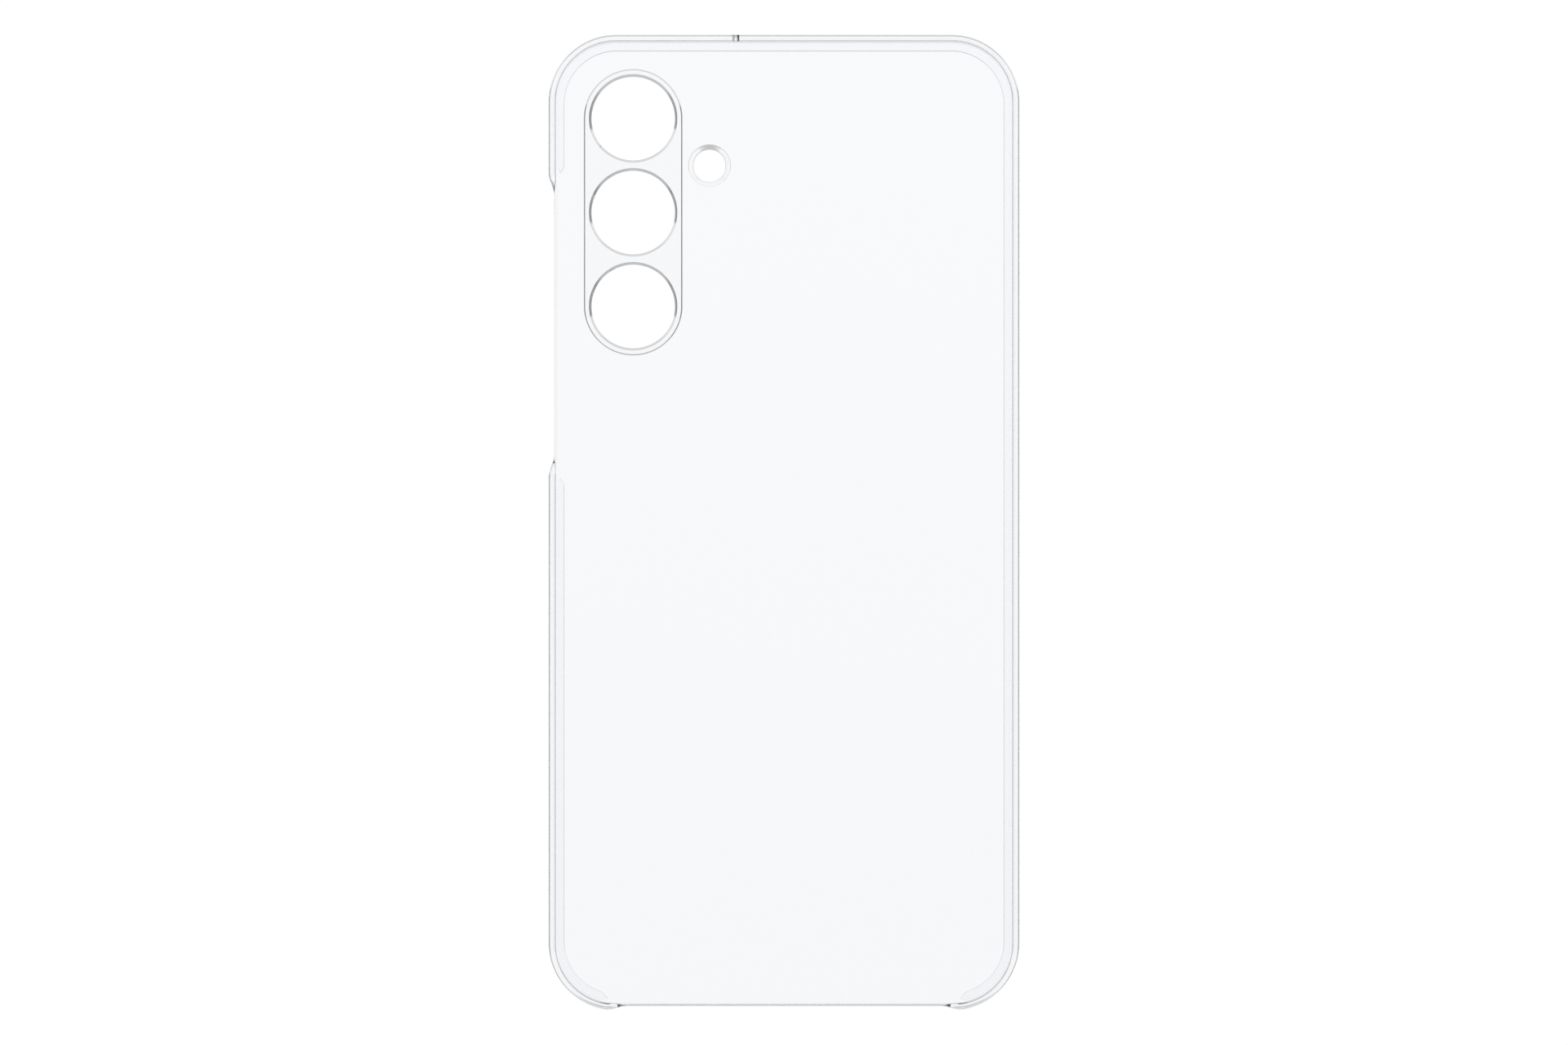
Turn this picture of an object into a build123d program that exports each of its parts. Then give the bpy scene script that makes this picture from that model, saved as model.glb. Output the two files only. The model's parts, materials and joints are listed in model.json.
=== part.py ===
from build123d import *
import os

# Clear hard-shell case for a 6.5-inch-class phone.
#
# X is the width and Z the height. The outer back faces -Y and the phone goes in from +Y.
# The origin is the middle of the case's lower end, on the surface that it stands on.
# "Depth" is measured from the outer back face towards the front.

os.makedirs("parts", exist_ok=True)

# Outline and walls
case_width = 79.2
case_height = 164.1
corner_radius = 11.4
back_thickness = 1.0
wall_thickness = 1.3
cavity_depth = 8.4
lip_thickness = 0.8
lip_reach = 2.5  # from the outside of the wall to the lip's free edge

# Roundings of the wall's section
back_edge_radius = 2.0  # outside, where the back turns into the wall
floor_edge_radius = 0.2  # inside, where the floor turns into the wall
front_edge_radius = 0.3  # outside, at the front
lip_root_radius = 0.4  # inside, where the wall turns into the lip

# The wall band starts where both back roundings have ended
band_start = 3.1

# Opening in the side wall beside the phone's buttons. The back keeps a low sill there, and
# along it the outside stands in from the case's outline by the setback.
button_gap_low = 91.6
button_gap_high = 139.0
button_gap_sill = 1.2
button_gap_radius = 2.5
button_gap_setback = 0.96

# Opening in the lower wall below the phone's socket and speaker, made the same way
base_gap_half_width = 28.3
base_gap_sill = 1.4
base_gap_radius = 2.4
base_gap_setback = 0.74

# Where a wall ends at an opening
setback_lead = 1.4  # how far each side of the wall's end the setback begins and is complete
setback_radius = 4.0
lip_end_radius = 1.15  # seen from the front

# Raised camera plate, let into a matching opening in the back
lens_x = -25.33
lens_heights = (118.36, 134.14, 149.92)
lens_hole_radius = 7.0
lens_hole_bevel = 0.45
plate_half_width = 8.26
plate_rise = 0.45
plate_edge_radius = 0.25

# Flash opening, flared towards the outside
flash_x = -12.51
flash_z = 142.0
flash_radius = 2.7
flash_flare_radius = 3.55
flash_flare_angle = 110

# Microphone hole through the upper wall
mic_x = -8.1
mic_radius = 0.6
mic_depth = back_thickness + cavity_depth / 2

# Worked out from the dimensions above
shell_depth = back_thickness + cavity_depth + lip_thickness
overall_depth = shell_depth + plate_rise
back_y = plate_rise - overall_depth / 2
mid_height = case_height / 2
reach_past = 5.0  # how far a cutting shape runs past the case
plate_mid_z = sum(lens_heights) / len(lens_heights)
plate_length = lens_heights[-1] - lens_heights[0] + 2 * plate_half_width
FRONTWARDS = (0, 1, 0)
NEAR = 0.05


def level(depth):
    """The plane parallel to the back at this depth, with X across and Z up."""
    return Plane(origin=(0, back_y + depth, 0), x_dir=(1, 0, 0), z_dir=(0, -1, 0))


def is_lip_end(edge):
    """Whether this upright edge of the lip is one of the four that stand at an opening."""
    place = edge.center()
    at_button_gap = min(abs(place.Z - button_gap_low), abs(place.Z - button_gap_high)) < NEAR
    at_base_gap = abs(abs(place.X) - base_gap_half_width) < NEAR
    return edge.length < lip_thickness + NEAR and (at_button_gap or at_base_gap)


# The space for the phone: a rounded block, and the narrower way in between the lips
with BuildPart() as phone_space:
    with BuildSketch(level(back_thickness)):
        with Locations((0, mid_height)):
            RectangleRounded(
                case_width - 2 * wall_thickness,
                case_height - 2 * wall_thickness,
                corner_radius - wall_thickness,
            )
    extrude(amount=cavity_depth, dir=FRONTWARDS)
    fillet(phone_space.faces().sort_by(Axis.Y)[0].edges(), floor_edge_radius)
    fillet(phone_space.faces().sort_by(Axis.Y)[-1].edges(), lip_root_radius)

with BuildPart() as way_in:
    with BuildSketch(level(back_thickness + cavity_depth - reach_past)):
        with Locations((0, mid_height)):
            RectangleRounded(
                case_width - 2 * lip_reach,
                case_height - 2 * lip_reach,
                corner_radius - lip_reach,
            )
    extrude(amount=lip_thickness + 2 * reach_past, dir=FRONTWARDS)

# The opening beside the buttons, with a curved foot at each end
with BuildPart() as button_gap:
    with BuildSketch(Plane.YZ.offset(-case_width / 2 - reach_past)) as button_profile:
        gap_length = button_gap_high - button_gap_low
        with Locations((back_y + button_gap_sill, (button_gap_low + button_gap_high) / 2)):
            Rectangle(shell_depth + reach_past, gap_length, align=(Align.MIN, Align.CENTER))
        fillet(button_profile.vertices().group_by(Axis.Y)[0], button_gap_radius)
    extrude(amount=2 * reach_past + lip_reach)

# The opening in the lower wall, made the same way
with BuildPart() as base_gap:
    with BuildSketch(Plane.XY.offset(-reach_past)) as base_profile:
        with Locations((0, back_y + base_gap_sill)):
            Rectangle(
                2 * base_gap_half_width,
                shell_depth + reach_past,
                align=(Align.CENTER, Align.MIN),
            )
        fillet(base_profile.vertices().group_by(Axis.Y)[0], base_gap_radius)
    extrude(amount=2 * reach_past + lip_reach)

# Seen from behind, the outside comes in from the outline along both openings
with BuildPart() as button_setback:
    with BuildSketch(level(-reach_past)) as button_setback_profile:
        outline_x = -case_width / 2
        sill_x = outline_x + button_gap_setback
        with BuildLine():
            Polyline(
                (outline_x - reach_past, button_gap_low - setback_lead),
                (outline_x, button_gap_low - setback_lead),
                (sill_x, button_gap_low + setback_lead),
                (sill_x, button_gap_high - setback_lead),
                (outline_x, button_gap_high + setback_lead),
                (outline_x - reach_past, button_gap_high + setback_lead),
                close=True,
            )
        make_face()
        fillet(button_setback_profile.vertices().group_by(Axis.X)[-1], setback_radius)
    extrude(amount=shell_depth + 2 * reach_past, dir=FRONTWARDS)

with BuildPart() as base_setback:
    with BuildSketch(level(-reach_past)) as base_setback_profile:
        outer_half = base_gap_half_width + setback_lead
        inner_half = base_gap_half_width - setback_lead
        with BuildLine():
            Polyline(
                (-outer_half, -reach_past),
                (-outer_half, 0),
                (-inner_half, base_gap_setback),
                (inner_half, base_gap_setback),
                (outer_half, 0),
                (outer_half, -reach_past),
                close=True,
            )
        make_face()
        fillet(base_setback_profile.vertices().group_by(Axis.Y)[-1], setback_radius)
    extrude(amount=shell_depth + 2 * reach_past, dir=FRONTWARDS)

# The whole moulded form, before it is divided into the back and the wall bands
with BuildPart() as form:
    with BuildSketch(level(0)):
        with Locations((0, mid_height)):
            RectangleRounded(case_width, case_height, corner_radius)
    extrude(amount=shell_depth, dir=FRONTWARDS)
    fillet(form.faces().sort_by(Axis.Y)[0].edges(), back_edge_radius)
    fillet(form.faces().sort_by(Axis.Y)[-1].edges(), front_edge_radius)
    add(phone_space.part, mode=Mode.SUBTRACT)
    add(way_in.part, mode=Mode.SUBTRACT)
    add(button_gap.part, mode=Mode.SUBTRACT)
    add(base_gap.part, mode=Mode.SUBTRACT)
    lip_edges = form.edges().filter_by(Axis.Y).filter_by(is_lip_end)
    fillet(lip_edges, lip_end_radius)
    add(button_setback.part, mode=Mode.SUBTRACT)
    add(base_setback.part, mode=Mode.SUBTRACT)

# Back shell: the flat back with its turned-up edge, open at the camera plate and the flash
with BuildPart() as back_shell:
    add(form.part)
    split(bisect_by=level(band_start), keep=Keep.TOP)
    with BuildSketch(level(-reach_past)):
        with Locations((lens_x, plate_mid_z)):
            SlotOverall(plate_length, 2 * plate_half_width, rotation=90)
    extrude(amount=2 * reach_past, dir=FRONTWARDS, mode=Mode.SUBTRACT)
    with Locations(level(0)):
        with Locations((flash_x, flash_z, 0)):
            CounterSinkHole(
                radius=flash_radius,
                counter_sink_radius=flash_flare_radius,
                counter_sink_angle=flash_flare_angle,
            )
back_shell.part.label = "back_shell"
export_step(back_shell.part, "parts/back_shell.step")

# Wall bands: what is left in front of the back shell, in two lengths between the openings
with BuildPart() as bands:
    add(form.part)
    split(bisect_by=level(band_start), keep=Keep.BOTTOM)
    with Locations(Plane((mic_x, back_y + mic_depth, case_height))):
        Hole(radius=mic_radius, depth=2 * wall_thickness)
band_solids = bands.solids().sort_by(SortBy.VOLUME)

with BuildPart() as lower_left_band:
    add(band_solids[0])
lower_left_band.part.label = "lower_left_band"
export_step(lower_left_band.part, "parts/lower_left_band.step")

with BuildPart() as main_band:
    add(band_solids[-1])
main_band.part.label = "main_band"
export_step(main_band.part, "parts/main_band.step")

# Camera plate: a raised slot-shaped plate with a bevelled opening round each lens
with BuildPart() as camera_plate:
    with BuildSketch(level(-plate_rise)):
        with Locations((lens_x, plate_mid_z)):
            SlotOverall(plate_length, 2 * plate_half_width, rotation=90)
    extrude(amount=plate_rise + back_thickness, dir=FRONTWARDS)
    fillet(camera_plate.faces().sort_by(Axis.Y)[0].edges(), plate_edge_radius)
    with BuildSketch(level(-plate_rise)):
        with Locations([(lens_x, height) for height in lens_heights]):
            Circle(lens_hole_radius)
    extrude(amount=2 * reach_past, dir=FRONTWARDS, mode=Mode.SUBTRACT)
    lens_rims = camera_plate.faces().sort_by(Axis.Y)[0].inner_wires()
    chamfer([edge for rim in lens_rims for edge in rim.edges()], lens_hole_bevel)
camera_plate.part.label = "camera_plate"
export_step(camera_plate.part, "parts/camera_plate.step")
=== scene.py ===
import json
import math

import bpy
from mathutils import Matrix, Vector
from mathutils.geometry import delaunay_2d_cdt


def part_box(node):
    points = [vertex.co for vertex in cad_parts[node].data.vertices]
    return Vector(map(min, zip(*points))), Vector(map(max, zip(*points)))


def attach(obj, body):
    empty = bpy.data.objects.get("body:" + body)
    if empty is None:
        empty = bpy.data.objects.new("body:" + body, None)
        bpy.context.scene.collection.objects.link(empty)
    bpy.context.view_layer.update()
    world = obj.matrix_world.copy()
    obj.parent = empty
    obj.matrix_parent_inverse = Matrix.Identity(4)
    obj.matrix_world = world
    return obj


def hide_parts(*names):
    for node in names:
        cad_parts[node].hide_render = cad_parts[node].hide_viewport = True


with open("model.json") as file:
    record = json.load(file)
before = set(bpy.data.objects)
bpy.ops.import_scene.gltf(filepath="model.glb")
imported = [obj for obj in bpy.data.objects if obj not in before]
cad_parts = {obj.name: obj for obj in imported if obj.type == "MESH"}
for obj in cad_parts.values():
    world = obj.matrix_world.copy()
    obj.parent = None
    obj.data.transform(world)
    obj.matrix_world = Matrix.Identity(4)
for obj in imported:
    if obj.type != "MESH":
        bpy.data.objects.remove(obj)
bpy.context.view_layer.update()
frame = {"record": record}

# Lengths are in millimetres until a mesh is made. Along the outline, "way" is the distance from
# the middle of the lower end, anticlockwise as seen from behind. "Inset" is measured inwards
# from the outline and "depth" from the outer back face towards the front.
MM = 0.001
NEAR = 0.00001  # for filling flat faces
TINY_AREA = 1e-9
POINT_DIGITS = 4  # corners that agree to this many decimals are one point

mounts = {mount["name"]: mount for mount in frame["record"]["mounts"]}
back_low, back_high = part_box("back_shell")
plate_low, plate_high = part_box("camera_plate")

# Places that come from the frame
HALF_WIDTH = back_high.x / MM
HEIGHT = back_high.z / MM
BACK_Y = back_low.y / MM
FRONT_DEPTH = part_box("main_band")[1].y / MM - BACK_Y
PLATE_RISE = BACK_Y - plate_low.y / MM
LENS_NAMES = ("lens_opening_top", "lens_opening_middle", "lens_opening_bottom")

# Section of the moulding
CORNER_RADIUS = 11.4
FLOOR_DEPTH = 1.0
WALL = 1.3
LIP_REACH = 2.5
LIP_THICKNESS = 0.8
LIP_ROOT_RADIUS = 0.4
LIP_EDGE_RADIUS = 0.3
BACK_EDGE_RADIUS = 2.0
FLOOR_EDGE_RADIUS = 0.2
FRONT_EDGE_RADIUS = 0.3
JOINT_DEPTH = 3.1

# Openings in the wall
BUTTON_GAP_LOW = 91.6
BUTTON_GAP_HIGH = 139.0
BUTTON_SILL = 1.2
BUTTON_FOOT = 2.5
BUTTON_SETBACK = 0.96
BASE_GAP_HALF = 28.3
BASE_SILL = 1.4
BASE_FOOT = 2.4
BASE_SETBACK = 0.74
SETBACK_LEAD = 1.8
GAP_EDGE_RADIUS = 0.26
SILL_INNER_EDGE_RADIUS = 0.06
LIP_STARTS = 0.9
LIP_GROWS_OVER = 2.5
LIP_TURNS_OVER = 0.1  # the reach over which the faces below the lip turn from upright to level
LEAST_FRONT = 0.02

# Openings in the back
SLOT_CLEARANCE = 0.02
SLOT_EDGE_RADIUS = 0.1
PLATE_EDGE_WIDTH = 0.28
LENS_RIM_WIDTH = 0.5
FLARE_RADIUS = 3.55
MIC_DEPTH = 5.2
MIC_MARGIN = 2.5

# How finely the roundings are divided
ARC_STEPS = 20
EDGE_STEPS = 6
FOOT_STEPS = 16
SILL_STEPS = 8
STRAIGHT_STEPS = 6
CORNER_STEPS = 56
ROUND_STEPS = 128
MIC_STEPS = 48
END_LENGTH = 5.0  # the length of wall next to an opening that is divided finely
END_STEPS = 32
LEAST_STEP = 0.02

FLAT_HALF = HALF_WIDTH - CORNER_RADIUS
SIDE_LENGTH = HEIGHT - 2 * CORNER_RADIUS
CORNER_LENGTH = math.pi / 2 * CORNER_RADIUS
QUARTER = math.pi / 2


def ease(t):
    t = max(0.0, min(1.0, t))
    return t * t * (3 - 2 * t)


def steps(first, last, count):
    return [first + (last - first) * i / count for i in range(count + 1)]


# The outline as runs of line and arc: (length, start or centre, direction or first angle)
RUNS = (
    (FLAT_HALF, (0.0, 0.0), (1.0, 0.0), None),
    (CORNER_LENGTH, (FLAT_HALF, CORNER_RADIUS), None, -QUARTER),
    (SIDE_LENGTH, (HALF_WIDTH, CORNER_RADIUS), (0.0, 1.0), None),
    (CORNER_LENGTH, (FLAT_HALF, HEIGHT - CORNER_RADIUS), None, 0.0),
    (2 * FLAT_HALF, (FLAT_HALF, HEIGHT), (-1.0, 0.0), None),
    (CORNER_LENGTH, (-FLAT_HALF, HEIGHT - CORNER_RADIUS), None, QUARTER),
    (SIDE_LENGTH, (-HALF_WIDTH, HEIGHT - CORNER_RADIUS), (0.0, -1.0), None),
    (CORNER_LENGTH, (-FLAT_HALF, CORNER_RADIUS), None, 2 * QUARTER),
    (FLAT_HALF, (-FLAT_HALF, 0.0), (1.0, 0.0), None),
)
AROUND = sum(run[0] for run in RUNS)
RUN_STARTS = [sum(run[0] for run in RUNS[:i]) for i in range(len(RUNS))]


def outline(way):
    """The outline's point and outward normal at this way, as (x, z) pairs."""
    way = way % AROUND
    for (length, anchor, heading, angle), start in zip(RUNS, RUN_STARTS):
        if way <= start + length:
            break
    t = way - start
    if heading:
        point = (anchor[0] + heading[0] * t, anchor[1] + heading[1] * t)
        return point, (heading[1], -heading[0])
    turn = angle + t / CORNER_RADIUS
    out = (math.cos(turn), math.sin(turn))
    return (anchor[0] + CORNER_RADIUS * out[0], anchor[1] + CORNER_RADIUS * out[1]), out


def spot(x, depth, z):
    return Vector((x, BACK_Y + depth, z))


def place(way, inset, depth, facing):
    """World point and normal. Facing is given as (along the way, inwards, towards the front)."""
    (x, z), (out_x, out_z) = outline(way)
    point = spot(x - inset * out_x, depth, z - inset * out_z)
    along, inward, front = facing
    normal = Vector((-along * out_z - inward * out_x, front, along * out_x - inward * out_z))
    return point, normal.normalized()


def left_way(z):
    return RUN_STARTS[6] + HEIGHT - CORNER_RADIUS - z


def top_way(x):
    return RUN_STARTS[4] + FLAT_HALF - x


# The two openings: (first way, last way, sill depth, length of the curved foot, setback)
BUTTON_GAP = (
    left_way(BUTTON_GAP_HIGH), left_way(BUTTON_GAP_LOW), BUTTON_SILL, BUTTON_FOOT, BUTTON_SETBACK,
)
BASE_GAP = (
    AROUND - BASE_GAP_HALF, AROUND + BASE_GAP_HALF, BASE_SILL, BASE_FOOT, BASE_SETBACK,
)


def setback(way):
    """How far the outside stands in from the outline."""
    found = 0.0
    for first, last, sill, foot, most in (BUTTON_GAP, BASE_GAP):
        here = way + AROUND if way < AROUND / 2 and last > AROUND else way
        into = ease((here - first + SETBACK_LEAD) / (2 * SETBACK_LEAD))
        out_of = ease((last + SETBACK_LEAD - here) / (2 * SETBACK_LEAD))
        found = max(found, most * into * out_of)
    return found


def slope(measure, way):
    """How fast this measure changes along the outline."""
    small = 0.01
    return (measure(way + small) - measure(way - small)) / (2 * small)


def encloses(loop, point):
    inside = False
    for a, b in zip(loop, loop[1:] + loop[:1]):
        if (a.y > point.y) != (b.y > point.y):
            inside ^= point.x < a.x + (point.y - a.y) * (b.x - a.x) / (b.y - a.y)
    return inside


class Surface:
    """Gathers faces with exact normals, and joins corners that fall in one place."""

    def __init__(self):
        self.points = []
        self.numbers = {}
        self.faces = []
        self.normals = []
        self.slots = []

    def number(self, point):
        key = tuple(round(c, POINT_DIGITS) for c in point)
        if key not in self.numbers:
            self.numbers[key] = len(self.points)
            self.points.append(point)
        return self.numbers[key]

    def face(self, corners, slot=0):
        kept = []
        for point, normal in corners:
            number = self.number(point)
            if number not in [k[0] for k in kept]:
                kept.append((number, normal))
        if len(kept) < 3:
            return
        spots = [self.points[number] for number, _ in kept]
        turn = Vector((0, 0, 0))
        for a, b in zip(spots, spots[1:] + spots[:1]):
            turn += (a - spots[0]).cross(b - spots[0])
        if turn.length < TINY_AREA:
            return
        if turn.dot(sum((normal for _, normal in kept), Vector((0, 0, 0)))) < 0:
            kept.reverse()
        self.faces.append([number for number, _ in kept])
        self.normals.extend(normal for _, normal in kept)
        self.slots.append(slot)

    def grid(self, columns, closed=False, slot=0):
        for a, b in zip(columns, columns[1:] + (columns[:1] if closed else [])):
            for i in range(len(a) - 1):
                self.face([a[i], a[i + 1], b[i + 1], b[i]], slot)

    def flat(self, loops, normal, slot=0):
        """Fills a flat face inside the first loop and outside the others."""
        right = normal.orthogonal().normalized()
        up = normal.cross(right)
        shadows = [[Vector((p.dot(right), p.dot(up))) for p in loop] for loop in loops]
        edges, start = [], 0
        for loop in loops:
            edges += [(start + i, start + (i + 1) % len(loop)) for i in range(len(loop))]
            start += len(loop)
        everything = [shadow for loop in shadows for shadow in loop]
        found, _, triangles, sources, _, _ = delaunay_2d_cdt(everything, edges, [], 1, NEAR)
        spots = [point for loop in loops for point in loop]
        border, *holes = shadows
        for corners in triangles:
            middle = sum((found[i] for i in corners), Vector((0, 0))) / 3
            in_hole = any(encloses(hole, middle) for hole in holes)
            if encloses(border, middle) and not in_hole:
                self.face([(spots[sources[i][0]], normal) for i in corners], slot)

    def build(self, name, materials):
        mesh = bpy.data.meshes.new(name)
        mesh.from_pydata([point * MM for point in self.points], [], self.faces)
        for material in materials:
            mesh.materials.append(material)
        mesh.polygons.foreach_set("material_index", self.slots)
        mesh.polygons.foreach_set("use_smooth", [True] * len(self.faces))
        mesh.update()
        mesh.normals_split_custom_set([tuple(normal) for normal in self.normals])
        piece = bpy.data.objects.new(name, mesh)
        bpy.context.scene.collection.objects.link(piece)
        return piece


# ---------------------------------------------------------------- the back and its sill

def inner_inset(depth):
    """Inset of the inner face at this depth, where it turns into the floor."""
    middle = FLOOR_DEPTH + FLOOR_EDGE_RADIUS
    if depth >= middle:
        return WALL
    return WALL + FLOOR_EDGE_RADIUS - math.sqrt(FLOOR_EDGE_RADIUS**2 - (middle - depth) ** 2)


def tray_column(way, level, lean, edge, inner_edge):
    """One section of the back. Its top is at this level and faces lean = (along, front)."""
    along, front = lean
    corner_way = way - edge * along
    out = setback(corner_way)
    low_out = setback(way)
    across = BACK_EDGE_RADIUS - low_out
    down = min(across, level - edge * front)
    out_slope = slope(setback, way)
    strips = {}
    strips["arc"] = [
        place(
            way,
            low_out + across * (1 - math.sin(a)),
            down * (1 - math.cos(a)),
            (out_slope * math.sin(a) / across, -math.sin(a) / across, -math.cos(a) / down),
        )
        for a in steps(0, QUARTER, ARC_STEPS)
    ]
    facing = (out_slope, -1, 0)
    strips["side"] = [
        place(way, low_out, down, facing),
        place(corner_way, out, level - edge * front, facing),
    ]
    turns = steps(0, QUARTER, EDGE_STEPS)
    strips["outer_edge"] = [
        place(
            way - edge * (1 - math.sin(a)) * along,
            out + edge * (1 - math.cos(a)),
            level - edge * (1 - math.sin(a)) * front,
            (math.sin(a) * along, -math.cos(a), math.sin(a) * front),
        )
        for a in turns
    ]
    face_depth = level - inner_edge * front
    face_inset = inner_inset(face_depth)
    strips["inner_edge"] = [
        place(
            way - inner_edge * (1 - math.sin(a)) * along,
            face_inset - inner_edge * (1 - math.cos(a)),
            level - inner_edge * (1 - math.sin(a)) * front,
            (math.sin(a) * along, math.cos(a), math.sin(a) * front),
        )
        for a in reversed(turns)
    ]
    strips["top"] = [strips["outer_edge"][-1], strips["inner_edge"][0]]
    middle = FLOOR_DEPTH + FLOOR_EDGE_RADIUS
    first = math.asin(max(0.0, middle - face_depth) / FLOOR_EDGE_RADIUS)
    fillet = [
        place(
            way,
            WALL + FLOOR_EDGE_RADIUS * (1 - math.cos(b)),
            middle - FLOOR_EDGE_RADIUS * math.sin(b),
            (0, math.cos(b), math.sin(b)),
        )
        for b in steps(first, QUARTER, ARC_STEPS // 2)
    ]
    facing = (0, math.cos(first), math.sin(first))
    strips["inner"] = [
        place(way - inner_edge * along, face_inset, face_depth, facing),
        *fillet,
    ]
    return strips


def plain_ways(first, last, extra=()):
    """Ways for the sections of a length of plain wall, close together at its ends and corners."""
    found = set(extra) | {first, last}
    for near in steps(0.0, END_LENGTH, END_STEPS):
        found.add(first + near)
        found.add(last - near)
    for (length, _, heading, _), start in zip(RUNS, RUN_STARTS):
        count = STRAIGHT_STEPS if heading else CORNER_STEPS
        found.update(steps(start, start + length, count))
    kept = sorted(way for way in found if first - 1e-6 <= way <= last + 1e-6)
    spread = [kept[0]]
    for way in kept[1:]:
        if way - spread[-1] > LEAST_STEP:
            spread.append(way)
    spread[-1] = last
    return spread


MIC_WAY = top_way(mounts["microphone_hole"]["pos_m"][0] / MM)
MIC_SIDES = (MIC_WAY - MIC_MARGIN, MIC_WAY + MIC_MARGIN)
MAIN_ENDS = (BASE_GAP_HALF, BUTTON_GAP[0])
LOWER_ENDS = (BUTTON_GAP[1], AROUND - BASE_GAP_HALF)


def band_ways(ends):
    return plain_ways(ends[0] + GAP_EDGE_RADIUS, ends[1] - GAP_EDGE_RADIUS, MIC_SIDES)


def gap_columns(gap):
    """Sections through an opening: down the first foot, along the sill and up the second foot."""
    first, last, sill, foot, _ = gap
    rise = JOINT_DEPTH - sill
    columns = []
    for end, towards in ((first, 1), (last, -1)):
        half = []
        for a in steps(QUARTER, 0, FOOT_STEPS):
            along, front = math.sin(a) / foot, math.cos(a) / rise
            size = math.hypot(along, front)
            share = along / size
            growth = GAP_EDGE_RADIUS - SILL_INNER_EDGE_RADIUS
            inner_edge = SILL_INNER_EDGE_RADIUS + growth * share**2
            half.append(
                tray_column(
                    end + towards * foot * (1 - math.sin(a)),
                    sill + rise * (1 - math.cos(a)),
                    (towards * share, front / size),
                    GAP_EDGE_RADIUS,
                    inner_edge,
                )
            )
        if towards == 1:
            columns += half
            for way in steps(first + foot, last - foot, SILL_STEPS)[1:-1]:
                edges = (GAP_EDGE_RADIUS, SILL_INNER_EDGE_RADIUS)
                columns.append(tray_column(way, sill, (0, 1), *edges))
        else:
            columns += reversed(half)
    return columns


def plain_columns(ends):
    return [tray_column(way, JOINT_DEPTH, (0, 1), 0, 0) for way in band_ways(ends)]


def on_circle(x, z, radius, a):
    """Point of a loop at this angle: (x, z, outward x, outward z)."""
    return x + radius * math.cos(a), z + radius * math.sin(a), math.cos(a), math.sin(a)


def full_turn(count):
    return [2 * math.pi * i / count for i in range(count)]


def circle(centre, radius):
    return [on_circle(*centre, radius, a) for a in full_turn(ROUND_STEPS)]


def slot_loop(x, low, high, radius):
    """Upright slot-shaped loop whose ends are centred at low and high."""
    loop = []
    for middle, start in ((high, 0.0), (low, math.pi)):
        for a in steps(start, start + math.pi, ROUND_STEPS // 2):
            loop.append(on_circle(x, middle, radius, a))
    return loop


def ring(loop, offset, depth):
    return [spot(x + offset * out_x, depth, z + offset * out_z) for x, z, out_x, out_z in loop]


def wrap(surface, loop, rows, slot=0):
    """Sweeps rows of (offset, depth, outward facing, front facing) round a loop."""
    columns = []
    for x, z, out_x, out_z in loop:
        column = []
        for o, depth, n, front in rows:
            normal = Vector((n * out_x, front, n * out_z)).normalized()
            column.append((spot(x + o * out_x, depth, z + o * out_z), normal))
        columns.append(column)
    surface.grid(columns, closed=True, slot=slot)


def hole_rows(edge, top, bottom):
    """Wall of a hole, from its rounded outer edge at depth top to its sharp inner edge."""
    rows = [
        (edge * (1 - math.sin(a)), top + edge * (1 - math.cos(a)), -math.sin(a), -math.cos(a))
        for a in steps(0, QUARTER, EDGE_STEPS * 2)
    ]
    return [*rows, (0, bottom, -1, 0)]


def rim_rows(width, slope_at, top, bottom, facing):
    """A rim's slope and the straight wall below it. Slope_at gives its steepness in degrees at
    each share of the width, from the flat face (0) to the wall (1)."""
    rows, depth, count = [], top, EDGE_STEPS * 4
    before = slope_at(0)
    for i in range(count + 1):
        angle = slope_at(i / count)
        if i:
            depth += width / count * math.tan(math.radians((angle + before) / 2))
        before = angle
        turn = math.radians(angle)
        offset = -facing * width * (1 - i / count)
        rows.append((offset, depth, facing * math.sin(turn), -math.cos(turn)))
    return rows, [(0, depth, facing, 0), (0, bottom, facing, 0)]


# The rims' steepness in degrees: it rises over part of the width, and a little more from there
def lens_slope(share):
    return 66 * ease(share / 0.2) + 6 * share


def plate_slope(share):
    return 64 * ease(share / 0.5) + 2 * share


# The flare is a plain cone that is steeper for a short way at both ends
def flash_slope(share):
    cone, more, end = 43, 25, 0.12
    return cone + more * (1 - ease(share / end)) + more * ease((share - (1 - end)) / end)


PLATE_X = (plate_low.x + plate_high.x) / 2 / MM
PLATE_RADIUS = (plate_high.x - plate_low.x) / 2 / MM
PLATE_LOW_Z = plate_low.z / MM + PLATE_RADIUS
PLATE_HIGH_Z = plate_high.z / MM - PLATE_RADIUS
FLASH = (mounts["flash_opening"]["pos_m"][0] / MM, mounts["flash_opening"]["pos_m"][2] / MM)
FLASH_RADIUS = mounts["flash_opening"]["dims"]["r_mm"]
INSIDE = 1  # the material of the dotted inner faces; all others take the first one
BACKWARDS = Vector((0, -1, 0))
FORWARDS = Vector((0, 1, 0))


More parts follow.
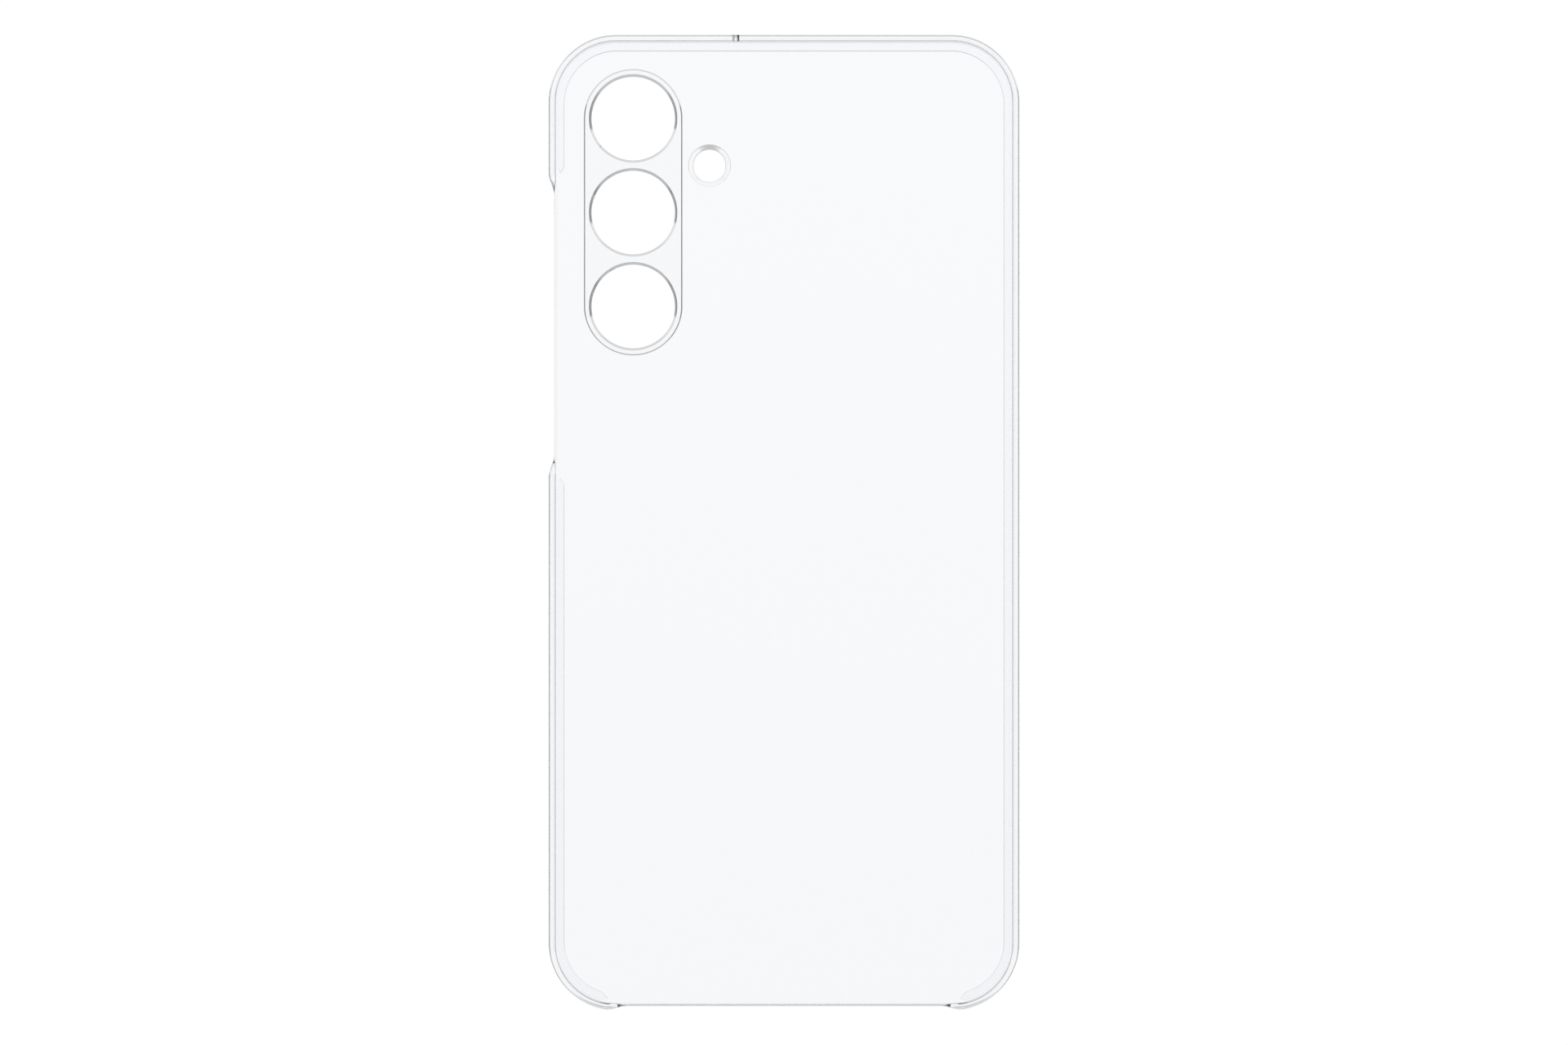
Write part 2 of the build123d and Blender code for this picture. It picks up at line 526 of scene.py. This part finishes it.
def make_back(materials):
    surface = Surface()
    main, button = plain_columns(MAIN_ENDS), gap_columns(BUTTON_GAP)
    lower, base = plain_columns(LOWER_ENDS), gap_columns(BASE_GAP)
    everything = main + button + lower + base
    for strip in ("arc", "side", "inner"):
        surface.grid([column[strip] for column in everything], closed=True)
    for gap in (button, base):
        for strip in ("outer_edge", "top", "inner_edge"):
            surface.grid([column[strip] for column in gap])
    slot = slot_loop(PLATE_X, PLATE_LOW_Z, PLATE_HIGH_Z, PLATE_RADIUS)
    flash = circle(FLASH, FLASH_RADIUS)
    flare = FLARE_RADIUS - FLASH_RADIUS
    surface.flat(
        [
            [column["arc"][0][0] for column in everything],
            ring(slot, SLOT_EDGE_RADIUS, 0),
            ring(flash, flare, 0),
        ],
        BACKWARDS,
    )
    surface.flat(
        [
            [column["inner"][-1][0] for column in everything],
            ring(slot, 0, FLOOR_DEPTH),
            ring(flash, 0, FLOOR_DEPTH),
        ],
        FORWARDS,
        INSIDE,
    )
    wrap(surface, slot, hole_rows(SLOT_EDGE_RADIUS, 0, FLOOR_DEPTH))
    for rows in rim_rows(flare, flash_slope, 0, FLOOR_DEPTH, -1):
        wrap(surface, flash, rows)
    return surface.build("clear_back_panel", materials)


# ---------------------------------------------------------------- the walls with their lip

def lip_inset(way, ends):
    """Inset of the inner face at the front: the lip fades into the wall near an opening."""
    from_end = min(way - ends[0], ends[1] - way)
    return WALL + (LIP_REACH - WALL) * ease((from_end - LIP_STARTS) / LIP_GROWS_OVER)


def wall_section(way, ends):
    """Rows of (inset, depth, inward facing, front facing, whether it moves with the lip)."""
    out, reach = setback(way), lip_inset(way, ends)
    hook = reach - WALL
    fullness = hook / (LIP_REACH - WALL)
    front_edge = GAP_EDGE_RADIUS + (LIP_EDGE_RADIUS - GAP_EDGE_RADIUS) * fullness
    rear_edge = min(LIP_EDGE_RADIUS, hook / 2)
    root = min(LIP_ROOT_RADIUS, hook - rear_edge)
    outer = min(FRONT_EDGE_RADIUS, reach - out - front_edge - LEAST_FRONT)
    rows = [(out, JOINT_DEPTH, -1, 0, False)]
    for a in steps(0, QUARTER, ARC_STEPS // 2):
        rows.append(
            (
                out + outer * (1 - math.cos(a)),
                FRONT_DEPTH - outer * (1 - math.sin(a)),
                -math.cos(a),
                math.sin(a),
                False,
            )
        )
    for a in steps(QUARTER, 0, EDGE_STEPS):
        rows.append(
            (
                reach - front_edge * (1 - math.cos(a)),
                FRONT_DEPTH - front_edge * (1 - math.sin(a)),
                math.cos(a),
                math.sin(a),
                True,
            )
        )
    under = FRONT_DEPTH - LIP_THICKNESS
    level = ease(hook / LIP_TURNS_OVER)
    for a in steps(0, QUARTER, EDGE_STEPS):
        rows.append(
            (
                reach - rear_edge * (1 - math.cos(a)),
                under + rear_edge * (1 - math.sin(a)),
                math.cos(a * level),
                -math.sin(a * level),
                True,
            )
        )
    for a in steps(QUARTER, 0, ARC_STEPS // 2):
        rows.append(
            (
                WALL + root * (1 - math.cos(a)),
                under - root * (1 - math.sin(a)),
                math.cos(a * level),
                -math.sin(a * level),
                False,
            )
        )
    rows.append((WALL, JOINT_DEPTH, 1, 0, False))
    return rows


def band_columns(ends):
    """Sections of one wall, with its rounded ends first and last."""
    columns = []
    for end, side in ((ends[0], 1), (ends[1], -1)):
        rows = wall_section(end + side * GAP_EDGE_RADIUS, ends)
        capped = []
        for a in steps(QUARTER, 0, EDGE_STEPS):
            sunk = GAP_EDGE_RADIUS * (1 - math.cos(a))
            capped.append(
                [
                    place(
                        end + side * GAP_EDGE_RADIUS * (1 - math.sin(a)),
                        inset - inward * sunk,
                        depth - front * sunk,
                        (-side * math.sin(a), inward * math.cos(a), front * math.cos(a)),
                    )
                    for inset, depth, inward, front, _ in rows
                ]
            )
        if side == 1:
            columns += capped[:-1]
            for way in band_ways(ends):
                out_slope = slope(setback, way)
                lip_slope = slope(lambda w: lip_inset(w, ends), way)
                column = []
                for inset, depth, inward, front, with_lip in wall_section(way, ends):
                    moves = lip_slope if with_lip else (out_slope if inward < 0 else 0)
                    column.append(place(way, inset, depth, (-inward * moves, inward, front)))
                columns.append(column)
        else:
            columns += reversed(capped[:-1])
    return columns


def make_band(name, ends, materials):
    surface = Surface()
    columns = band_columns(ends)
    drilled = ends[0] < MIC_WAY < ends[1]
    mic_x, up = mounts["microphone_hole"]["pos_m"][0] / MM, Vector((0, 0, 1))
    left_out = []
    for a, b in zip(columns, columns[1:]):
        middle = (a[0][0] + b[0][0]) / 2
        at_hole = drilled and middle.z > HEIGHT - WALL and abs(middle.x - mic_x) < MIC_MARGIN / 2
        for i in range(len(a) - 1):
            corners = [a[i], a[i + 1], b[i + 1], b[i]]
            if at_hole and i in (0, len(a) - 2):
                left_out.append([point for point, _ in corners])
            else:
                surface.face(corners)
    for column in (columns[0], columns[-1]):
        surface.flat([[point for point, _ in column]], column[0][1])
    if drilled:
        radius = mounts["microphone_hole"]["dims"]["r_mm"]
        turns = full_turn(MIC_STEPS)
        rings = [
            [
                Vector((mic_x + radius * math.cos(a), BACK_Y + MIC_DEPTH + radius * math.sin(a), z))
                for a in turns
            ]
            for z in (HEIGHT, HEIGHT - WALL)
        ]
        for corners, rim, normal in zip(left_out, rings, (up, -up)):
            surface.flat([corners, rim], normal)
        facings = [Vector((-math.cos(a), -math.sin(a), 0)) for a in turns]
        surface.grid(
            [[(high, facing), (low, facing)] for high, low, facing in zip(*rings, facings)],
            closed=True,
        )
    return surface.build(name, materials)


# ---------------------------------------------------------------- the camera plate

def make_plate(materials):
    surface = Surface()
    rim = slot_loop(PLATE_X, PLATE_LOW_Z, PLATE_HIGH_Z, PLATE_RADIUS - SLOT_CLEARANCE)
    for rows in rim_rows(PLATE_EDGE_WIDTH, plate_slope, -PLATE_RISE, FLOOR_DEPTH, 1):
        wrap(surface, rim, rows)
    holes = []
    for name in LENS_NAMES:
        x, _, z = mounts[name]["pos_m"]
        hole = circle((x / MM, z / MM), mounts[name]["dims"]["r_mm"])
        for rows in rim_rows(LENS_RIM_WIDTH, lens_slope, -PLATE_RISE, FLOOR_DEPTH, -1):
            wrap(surface, hole, rows)
        holes.append(hole)
    hole_rims = [ring(hole, LENS_RIM_WIDTH, -PLATE_RISE) for hole in holes]
    surface.flat([ring(rim, -PLATE_EDGE_WIDTH, -PLATE_RISE), *hole_rims], BACKWARDS)
    hole_feet = [ring(hole, 0, FLOOR_DEPTH) for hole in holes]
    surface.flat([ring(rim, 0, FLOOR_DEPTH), *hole_feet], FORWARDS, INSIDE)
    return surface.build("clear_lens_plate", materials)


# ---------------------------------------------------------------- materials

IOR = 1.58
DOT_PITCH_X = 0.000669
DOT_PITCH_Z = 0.000692
FLOW_SCALE = 26.0
BUMP_STRENGTH = 0.05
BUMP_DISTANCE = 0.000004
# What makes up the mix between the tint's lighter and darker ends: a painted sheen that darkens the
# colour towards the bottom, random flow and the dots
PAINTED_SHEEN_SHARE = 0.8
FLOW_SHARE = 0.12
DOT_SHARE = 0.16
FLOW_IN_BUMP = 0.2
LIGHTER = 1.012
DARKER = 0.986


def clear_plastic(name, tint, dotted):
    """Clear hard plastic whose colour carries a painted sheen that leaves it a little darker
    downwards. Dotted adds a fine staggered pattern of dots."""
    material = bpy.data.materials.new(name)
    material.use_nodes = True
    nodes, links = material.node_tree.nodes, material.node_tree.links
    shader = nodes["Principled BSDF"]
    shader.inputs["Transmission Weight"].default_value = 1.0
    shader.inputs["IOR"].default_value = IOR
    shader.inputs["Roughness"].default_value = 0.0

    def maths(kind, a, b=None):
        node = nodes.new("ShaderNodeMath")
        node.operation = kind
        for socket, value in zip(node.inputs, (a, b)):
            if isinstance(value, (int, float)):
                socket.default_value = value
            elif value is not None:
                links.new(value, socket)
        return node.outputs[0]

    where = nodes.new("ShaderNodeTexCoord").outputs["Object"]
    flow = nodes.new("ShaderNodeTexNoise")
    flow.inputs["Scale"].default_value = FLOW_SCALE
    flow.inputs["Detail"].default_value = 2.0
    links.new(where, flow.inputs["Vector"])
    height = flow.outputs["Fac"]
    split = nodes.new("ShaderNodeSeparateXYZ")
    links.new(where, split.inputs[0])
    # Painted sheen: the colour turns a little darker towards the bottom of the case
    upwards = maths("MULTIPLY", split.outputs["Z"], 1 / (HEIGHT * MM))
    shade = maths("MULTIPLY", maths("SUBTRACT", 1.0, upwards), PAINTED_SHEEN_SHARE)
    shade = maths("ADD", shade, maths("MULTIPLY", flow.outputs["Fac"], FLOW_SHARE))
    if dotted:
        across = maths("MULTIPLY", split.outputs["X"], 2 * math.pi / DOT_PITCH_X)
        up = maths("MULTIPLY", split.outputs["Z"], 2 * math.pi / DOT_PITCH_Z)
        one = maths("COSINE", maths("ADD", across, up))
        other = maths("COSINE", maths("SUBTRACT", across, up))
        dots = maths("MULTIPLY", maths("ADD", one, other), 0.5)
        dots = maths("POWER", maths("MAXIMUM", dots, 0.0), 2.0)
        height = maths("ADD", maths("MULTIPLY", flow.outputs["Fac"], FLOW_IN_BUMP), dots)
        shade = maths("ADD", shade, maths("MULTIPLY", dots, DOT_SHARE))
    colour = nodes.new("ShaderNodeMix")
    colour.data_type = "RGBA"
    links.new(shade, colour.inputs["Factor"])
    colour.inputs["A"].default_value = (*[c * LIGHTER for c in tint], 1)
    colour.inputs["B"].default_value = (*[c * DARKER for c in tint], 1)
    links.new(colour.outputs["Result"], shader.inputs["Base Color"])
    bump = nodes.new("ShaderNodeBump")
    bump.inputs["Strength"].default_value = BUMP_STRENGTH
    bump.inputs["Distance"].default_value = BUMP_DISTANCE
    links.new(height, bump.inputs["Height"])
    links.new(bump.outputs["Normal"], shader.inputs["Normal"])
    return material


BACK_TINT = (0.911, 0.920, 0.938)
PLATE_TINT = (0.897, 0.905, 0.925)
WALL_TINT = (0.965, 0.972, 0.982)
back_outside = clear_plastic("clear_back_polished", BACK_TINT, False)
back_inside = clear_plastic("clear_back_dotted", BACK_TINT, True)
plate_outside = clear_plastic("clear_plate_polished", PLATE_TINT, False)
plate_inside = clear_plastic("clear_plate_dotted", PLATE_TINT, True)
wall_plastic = clear_plastic("clear_wall_polished", WALL_TINT, False)

back = make_back([back_outside, back_inside])
main_wall = make_band("clear_main_wall", MAIN_ENDS, [wall_plastic])
lower_wall = make_band("clear_lower_left_wall", LOWER_ENDS, [wall_plastic])
plate = make_plate([plate_outside, plate_inside])

for piece, node, slot in (
    (back, "back_shell", "clear_back"),
    (main_wall, "main_band", "clear_wall"),
    (lower_wall, "lower_left_band", "clear_wall"),
    (plate, "camera_plate", "clear_camera_plate"),
):
    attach(piece, "root")
    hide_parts(node)

# ---------------------------------------------------------------- floor, light and camera

scene = bpy.context.scene
scene.view_settings.view_transform = "Standard"
scene.view_settings.look = "None"

FLOOR_HALF = 60.0
FLOOR_GREY = 0.45
FLOOR_GLOW = 0.5
WHITE = 1.02
# Where the floor turns from matt to bright, on Layer Weight's Facing scale. It is as bright as
# the background from there on, so that no horizon shows in a level view.
FLOOR_STEEP = 0.50
FLOOR_GRAZING = 0.72

# Without enough bounces the light inside the clear walls dies out and their lines turn black
scene.cycles.max_bounces = 32
scene.cycles.glossy_bounces = 24
scene.cycles.transmission_bounces = 32
scene.cycles.transparent_max_bounces = 16


def emission(tree, strength):
    node = tree.nodes.new("ShaderNodeEmission")
    node.inputs["Color"].default_value = (1, 1, 1, 1)
    node.inputs["Strength"].default_value = strength
    return node


def remap(tree, value, low, high, to_low=0.0, to_high=1.0):
    node = tree.nodes.new("ShaderNodeMapRange")
    node.interpolation_type = "SMOOTHSTEP"
    names = ("From Min", "From Max", "To Min", "To Max")
    for name, number in zip(names, (low, high, to_low, to_high)):
        node.inputs[name].default_value = number
    tree.links.new(value, node.inputs["Value"])
    return node.outputs["Result"]


floor_mesh = bpy.data.meshes.new("floor")
floor_mesh.from_pydata(
    [(x, y, 0) for x, y in ((-1, -1), (1, -1), (1, 1), (-1, 1))], [], [(0, 1, 2, 3)]
)
floor_mesh.transform(Matrix.Scale(FLOOR_HALF, 4))
floor = bpy.data.objects.new("floor", floor_mesh)
scene.collection.objects.link(floor)
# The clear parts take their light from the studio alone, so they don't reflect the floor
floor.visible_glossy = False
floor.visible_transmission = False

paint = bpy.data.materials.new("floor_paint")
paint.use_nodes = True
tree = paint.node_tree
tree.nodes.clear()
layer = tree.nodes.new("ShaderNodeLayerWeight")
layer.inputs["Blend"].default_value = 0.5
grazing = remap(tree, layer.outputs["Facing"], FLOOR_STEEP, FLOOR_GRAZING)
matt = tree.nodes.new("ShaderNodeBsdfDiffuse")
matt.inputs["Color"].default_value = (FLOOR_GREY, FLOOR_GREY, FLOOR_GREY, 1)
glow = emission(tree, FLOOR_GLOW)
both = tree.nodes.new("ShaderNodeAddShader")
tree.links.new(matt.outputs[0], both.inputs[0])
tree.links.new(glow.outputs[0], both.inputs[1])
sheen = emission(tree, WHITE)
blend = tree.nodes.new("ShaderNodeMixShader")
tree.links.new(grazing, blend.inputs["Fac"])
tree.links.new(both.outputs[0], blend.inputs[1])
tree.links.new(sheen.outputs[0], blend.inputs[2])
out = tree.nodes.new("ShaderNodeOutputMaterial")
tree.links.new(blend.outputs[0], out.inputs["Surface"])
floor_mesh.materials.append(paint)

# The studio that the clear parts see is white behind and in front of the case. Near eye level it
# is dark from 50 to 76 degrees to each side, and it is greyer above: that draws the case's lines.
# It stays pale below and straight to the sides, so that the case looks clear from other angles.
# The camera sees plain white all round instead.
SIDE_LEVEL = 0.22
SIDE_FROM = math.cos(math.radians(50))
SIDE_TO = math.cos(math.radians(38))
EDGEWISE_LEVEL = 0.8
EDGEWISE_TO = math.cos(math.radians(84))
EDGEWISE_FROM = math.cos(math.radians(76))
LOWER_LEVEL = 0.8
UPPER_LEVEL = 0.54
LOWER_FROM = math.sin(math.radians(6))
LOWER_TO = math.sin(math.radians(13))
ABOVE_LEVEL = 0.9
ABOVE_FROM = math.sin(math.radians(20))
ABOVE_TO = math.sin(math.radians(40))
UPPER_FROM = math.sin(math.radians(23))
UPPER_TO = math.sin(math.radians(31))

world = bpy.data.worlds.new("studio")
scene.world = world
world.use_nodes = True
tree = world.node_tree
tree.nodes.clear()
heading = tree.nodes.new("ShaderNodeTexCoord").outputs["Generated"]
split = tree.nodes.new("ShaderNodeSeparateXYZ")
tree.links.new(heading, split.inputs[0])
size = tree.nodes.new("ShaderNodeMath")
size.operation = "ABSOLUTE"
tree.links.new(split.outputs["Y"], size.inputs[0])
sides = remap(tree, size.outputs[0], SIDE_FROM, SIDE_TO, SIDE_LEVEL, WHITE)
below = remap(tree, split.outputs["Z"], -LOWER_TO, -LOWER_FROM, LOWER_LEVEL, 0.0)
above = remap(tree, split.outputs["Z"], ABOVE_FROM, ABOVE_TO, 0.0, ABOVE_LEVEL)
edgewise = remap(tree, size.outputs[0], EDGEWISE_TO, EDGEWISE_FROM, EDGEWISE_LEVEL, 0.0)
shade = remap(tree, split.outputs["Z"], UPPER_FROM, UPPER_TO, 1.0, UPPER_LEVEL)


def combine(kind, a, b):
    node = tree.nodes.new("ShaderNodeMath")
    node.operation = kind
    tree.links.new(a, node.inputs[0])
    tree.links.new(b, node.inputs[1])
    return node.outputs[0]


lifted = combine("MAXIMUM", combine("MAXIMUM", sides, below), combine("MAXIMUM", above, edgewise))
product = combine("MULTIPLY", lifted, shade)
around = tree.nodes.new("ShaderNodeBackground")
tree.links.new(product, around.inputs["Strength"])
around.inputs["Color"].default_value = (1, 1, 1, 1)
seen = tree.nodes.new("ShaderNodeBackground")
seen.inputs["Color"].default_value = (1, 1, 1, 1)
seen.inputs["Strength"].default_value = WHITE
rays = tree.nodes.new("ShaderNodeLightPath")
pick = tree.nodes.new("ShaderNodeMixShader")
tree.links.new(rays.outputs["Is Camera Ray"], pick.inputs["Fac"])
tree.links.new(around.outputs[0], pick.inputs[1])
tree.links.new(seen.outputs[0], pick.inputs[2])
out = tree.nodes.new("ShaderNodeOutputWorld")
tree.links.new(pick.outputs[0], out.inputs["Surface"])

LENS = 0.250
SENSOR = 0.036
VIEW_WIDTH = 0.26334

camera_data = bpy.data.cameras.new("camera")
camera_data.sensor_width = SENSOR / MM
camera_data.lens = LENS / MM
camera_data.clip_start = 0.01
camera_data.clip_end = 200.0
camera = bpy.data.objects.new("camera", camera_data)
scene.collection.objects.link(camera)
camera.location = (0, back_low.y - VIEW_WIDTH * LENS / SENSOR, HEIGHT * MM / 2)
camera.rotation_euler = (QUARTER, 0, 0)
scene.camera = camera
